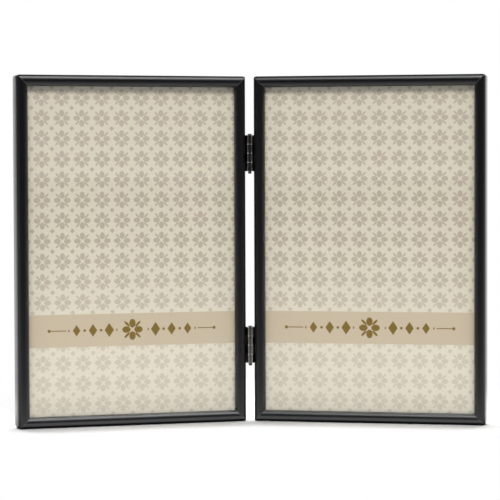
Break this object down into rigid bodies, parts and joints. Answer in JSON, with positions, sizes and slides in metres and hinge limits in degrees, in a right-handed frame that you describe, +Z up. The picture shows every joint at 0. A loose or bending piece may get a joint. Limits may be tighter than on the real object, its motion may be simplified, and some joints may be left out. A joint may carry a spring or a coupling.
{
  "type": "hinged double photo frame",
  "caption": "Hinged double photo frame that stands open like a book, with slim beaded black metal rails, glazed upright windows and velvet backs held by turn buttons.",
  "frame": {"origin": "bottom centre of the standing frame's box", "axes": "+X to the right across both leaves, +Y from the front to the back, +Z up along the hinge axis"},
  "size_m": [0.2092, 0.0354, 0.1548],
  "materials": {
    "black_lacquer": "satin gloss lacquer",
    "zinc_steel": "zinc plated",
    "clear_glass": "polished",
    "printed_card": "matt print",
    "hardboard": "pressed fibre",
    "black_velvet": "short pile",
    "button_brass": "satin plate",
    "hinge_steel": "gunmetal"
  },
  "bodies": {
    "left_leaf": {"left_top_rail": "black_lacquer", "left_bottom_rail": "black_lacquer", "left_outer_rail": "black_lacquer", "left_hinge_rail": "black_lacquer", "left_corner_angles": "zinc_steel", "left_glass": "clear_glass", "left_print": "printed_card", "left_back_board": "hardboard", "left_velvet": "black_velvet", "left_button_rivets": "button_brass", "left_upper_hinge_plate": "hinge_steel", "left_lower_hinge_plate": "hinge_steel", "left_hinge_rivets": "hinge_steel", "upper_hinge_pin": "hinge_steel", "lower_hinge_pin": "hinge_steel"},
    "right_leaf": {"right_top_rail": "black_lacquer", "right_bottom_rail": "black_lacquer", "right_outer_rail": "black_lacquer", "right_hinge_rail": "black_lacquer", "right_corner_angles": "zinc_steel", "right_glass": "clear_glass", "right_print": "printed_card", "right_back_board": "hardboard", "right_velvet": "black_velvet", "right_button_rivets": "button_brass", "right_upper_hinge_plate": "hinge_steel", "right_lower_hinge_plate": "hinge_steel", "right_hinge_rivets": "hinge_steel"},
    "left_upper_outer_turn_button": {"left_upper_outer_turn_button": "button_brass"},
    "left_upper_hinge_turn_button": {"left_upper_hinge_turn_button": "button_brass"},
    "left_lower_outer_turn_button": {"left_lower_outer_turn_button": "button_brass"},
    "left_lower_hinge_turn_button": {"left_lower_hinge_turn_button": "button_brass"},
    "right_upper_outer_turn_button": {"right_upper_outer_turn_button": "button_brass"},
    "right_upper_hinge_turn_button": {"right_upper_hinge_turn_button": "button_brass"},
    "right_lower_outer_turn_button": {"right_lower_outer_turn_button": "button_brass"},
    "right_lower_hinge_turn_button": {"right_lower_hinge_turn_button": "button_brass"}
  },
  "joints": [
    {"name": "leaf_fold", "type": "hinge", "parent": "left_leaf", "child": "right_leaf", "pos_m": [0, 0.00767, 0.0774], "axis": [0, 0, 1], "range_deg": [-151, 35]},
    {"name": "left_upper_outer_turn", "type": "hinge", "parent": "left_leaf", "child": "left_upper_outer_turn_button", "pos_m": [-0.09406, -0.00726, 0.1234], "axis": [-0.2504, 0.9681, 0], "continuous": true},
    {"name": "left_upper_hinge_turn", "type": "hinge", "parent": "left_leaf", "child": "left_upper_hinge_turn_button", "pos_m": [-0.0137, 0.01353, 0.1234], "axis": [-0.2504, 0.9681, 0], "continuous": true},
    {"name": "left_lower_outer_turn", "type": "hinge", "parent": "left_leaf", "child": "left_lower_outer_turn_button", "pos_m": [-0.09406, -0.00726, 0.0314], "axis": [-0.2504, 0.9681, 0], "continuous": true},
    {"name": "left_lower_hinge_turn", "type": "hinge", "parent": "left_leaf", "child": "left_lower_hinge_turn_button", "pos_m": [-0.0137, 0.01353, 0.0314], "axis": [-0.2504, 0.9681, 0], "continuous": true},
    {"name": "right_upper_outer_turn", "type": "hinge", "parent": "right_leaf", "child": "right_upper_outer_turn_button", "pos_m": [0.09406, -0.00726, 0.1234], "axis": [0.2504, 0.9681, 0], "continuous": true},
    {"name": "right_upper_hinge_turn", "type": "hinge", "parent": "right_leaf", "child": "right_upper_hinge_turn_button", "pos_m": [0.0137, 0.01353, 0.1234], "axis": [0.2504, 0.9681, 0], "continuous": true},
    {"name": "right_lower_outer_turn", "type": "hinge", "parent": "right_leaf", "child": "right_lower_outer_turn_button", "pos_m": [0.09406, -0.00726, 0.0314], "axis": [0.2504, 0.9681, 0], "continuous": true},
    {"name": "right_lower_hinge_turn", "type": "hinge", "parent": "right_leaf", "child": "right_lower_hinge_turn_button", "pos_m": [0.0137, 0.01353, 0.0314], "axis": [0.2504, 0.9681, 0], "continuous": true}
  ]
}
